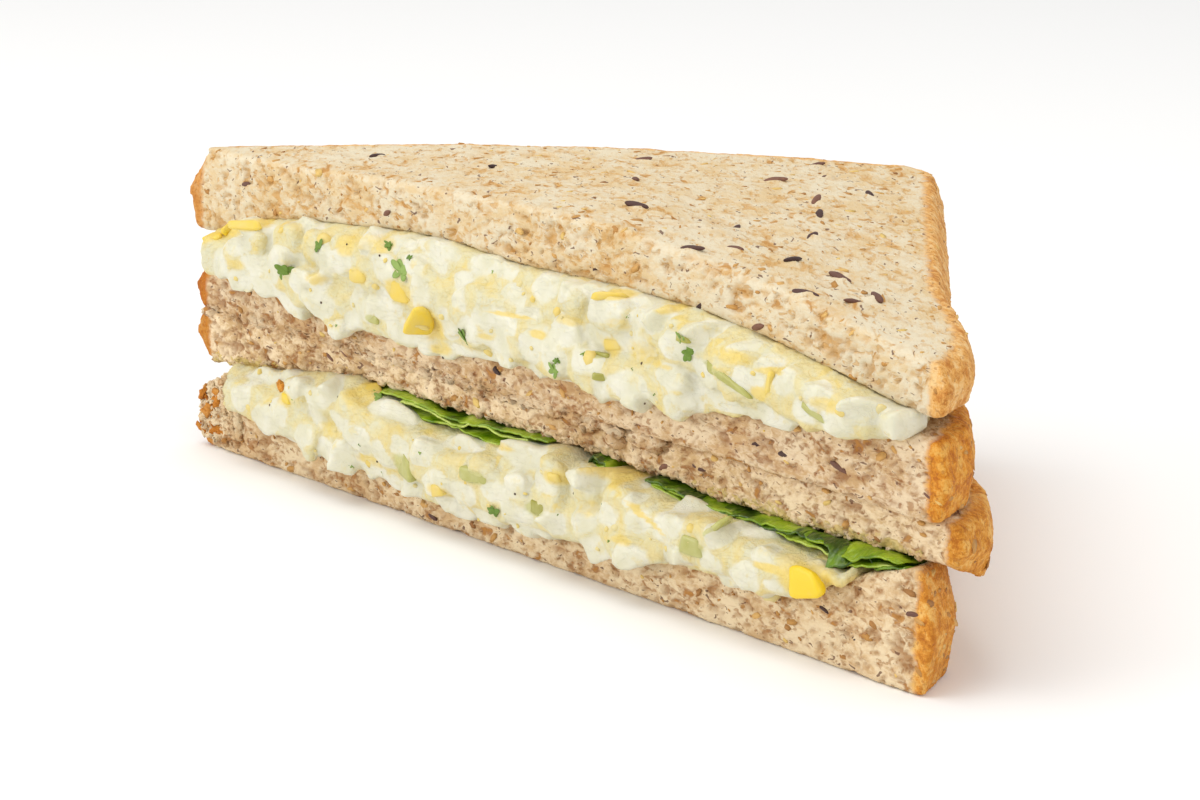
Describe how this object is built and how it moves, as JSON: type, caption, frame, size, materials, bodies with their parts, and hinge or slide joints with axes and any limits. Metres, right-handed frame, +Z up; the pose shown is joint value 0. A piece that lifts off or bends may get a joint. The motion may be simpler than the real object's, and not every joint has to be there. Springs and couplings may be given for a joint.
{
  "type": "egg salad sandwich",
  "caption": "Diagonally cut egg salad sandwich, halves stacked, with seeded bread slices, chopped egg filling and lettuce showing at the cut.",
  "frame": {"origin": "middle of the sandwich's underside, at the centre of its bounding box in plan", "axes": "+X along the long cut, towards the thick crust end; -Y out of the cut face that shows the filling; +Z up"},
  "size_m": [0.1696, 0.089, 0.052],
  "materials": {
    "bread_light": "dry porous crumb with a browned crust",
    "bread_dark": "dry porous crumb with a browned crust",
    "crust": "baked, satin",
    "seed": "satin seed coat",
    "egg_salad": "moist and creamy",
    "egg_white": "moist, smooth",
    "celery": "moist, slightly translucent",
    "lettuce": "fresh leaf, satin"
  },
  "bodies": {
    "root": {"bread_top": "bread_light", "egg_salad_upper": "egg_salad", "bread_second": "bread_dark", "bread_third": "bread_dark", "lettuce_left": "lettuce", "lettuce_right": "lettuce", "egg_salad_lower": "egg_salad", "bread_bottom": "bread_light"}
  },
  "joints": []
}
